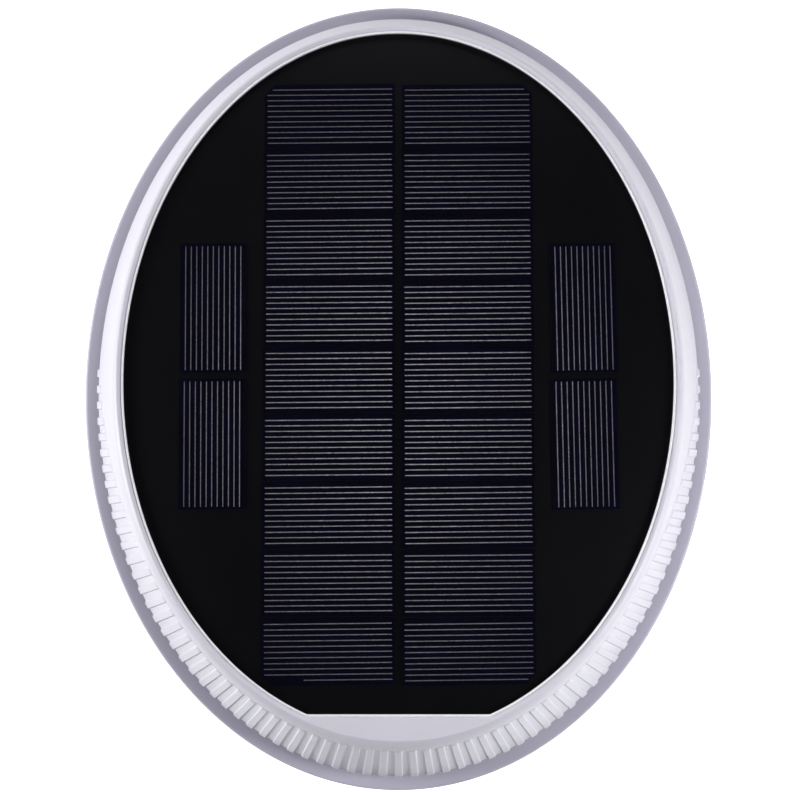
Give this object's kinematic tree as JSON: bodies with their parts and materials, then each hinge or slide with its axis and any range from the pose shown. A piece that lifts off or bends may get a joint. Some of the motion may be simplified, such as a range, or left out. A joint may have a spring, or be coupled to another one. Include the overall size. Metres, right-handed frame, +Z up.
{
  "type": "solar attic fan",
  "caption": "Oval roof vent fan: a wedge-shaped white hood with a ribbed front and an inset black solar panel, over a flange, a round duct, a motor and a bladed fan.",
  "frame": {"origin": "the middle of the oval footprint, at the height of the duct's lower rim, the lowest face, on which the part stands", "axes": "+Z up, square to the roof and along the fan's shaft; +Y towards the hood's low back, along the oval's length; +X to the right seen from the tall ribbed front"},
  "size_m": [0.305, 0.381, 0.1204],
  "materials": {
    "white_plastic": "satin moulded plastic, cool white",
    "grey_white_plastic": "satin moulded plastic, cool light grey",
    "black_foam": "closed-cell foam",
    "black_backsheet": "smooth black laminate",
    "clear_cover": "clear, gently glossy",
    "white_sealant": "cured sealant",
    "silicon_cell": "dark blue-black, fine silver lines",
    "black_plastic": "moulded plastic",
    "fan_plastic": "moulded plastic, satin",
    "bracket_plastic": "glass-filled moulded plastic",
    "grille_plastic": "satin moulded plastic, cool light grey",
    "zinc_plated_steel": "zinc plated, drawn",
    "screw_steel": "zinc plated",
    "bright_steel": "ground",
    "ferrite": "sintered",
    "copper_winding": "enamelled copper wire",
    "green_board": "solder mask",
    "brown_bakelite": "moulded phenolic",
    "red_insulation": "flexible wire insulation",
    "black_insulation": "flexible wire insulation"
  },
  "bodies": {
    "housing": {"bracket_screw_1": "screw_steel", "bracket_screw_2": "screw_steel", "bracket_screw_3": "screw_steel", "flange_gasket": "black_foam", "grille_screw_1": "screw_steel", "grille_screw_2": "screw_steel", "grille_screw_3": "screw_steel", "hood_screw_1": "screw_steel", "hood_screw_2": "screw_steel", "hood_screw_3": "screw_steel", "hood_screw_4": "screw_steel", "hood_shell": "white_plastic", "intake_grille": "grille_plastic", "junction_box": "black_plastic", "junction_box_lid": "black_plastic", "motor_bearing_lower": "bright_steel", "motor_bearing_upper": "bright_steel", "motor_bracket": "bracket_plastic", "motor_circuit_board": "green_board", "motor_end_cap": "black_plastic", "motor_housing": "zinc_plated_steel", "motor_link_lead": "red_insulation", "motor_screw_1": "screw_steel", "motor_screw_2": "screw_steel", "motor_stator": "copper_winding", "negative_lead": "black_insulation", "panel_backsheet": "black_backsheet", "panel_cover": "clear_cover", "panel_seal": "white_sealant", "positive_lead": "red_insulation", "roof_base": "grey_white_plastic", "solar_cell_01": "silicon_cell", "solar_cell_02": "silicon_cell", "solar_cell_03": "silicon_cell", "solar_cell_04": "silicon_cell", "solar_cell_05": "silicon_cell", "solar_cell_06": "silicon_cell", "solar_cell_07": "silicon_cell", "solar_cell_08": "silicon_cell", "solar_cell_09": "silicon_cell", "solar_cell_10": "silicon_cell", "solar_cell_11": "silicon_cell", "solar_cell_12": "silicon_cell", "solar_cell_13": "silicon_cell", "solar_cell_14": "silicon_cell", "solar_cell_15": "silicon_cell", "solar_cell_16": "silicon_cell", "solar_cell_17": "silicon_cell", "solar_cell_18": "silicon_cell", "solar_cell_19": "silicon_cell", "solar_cell_20": "silicon_cell", "solar_cell_21": "silicon_cell", "solar_cell_22": "silicon_cell", "thermal_switch": "brown_bakelite"},
    "rotor": {"motor_shaft": "bright_steel", "motor_rotor_magnet": "ferrite", "fan_impeller": "fan_plastic", "impeller_nut": "zinc_plated_steel"}
  },
  "joints": [
    {"name": "fan_spin", "type": "hinge", "parent": "housing", "child": "rotor", "pos_m": [0, 0, 0.0285], "axis": [0, 0, 1], "continuous": true}
  ]
}
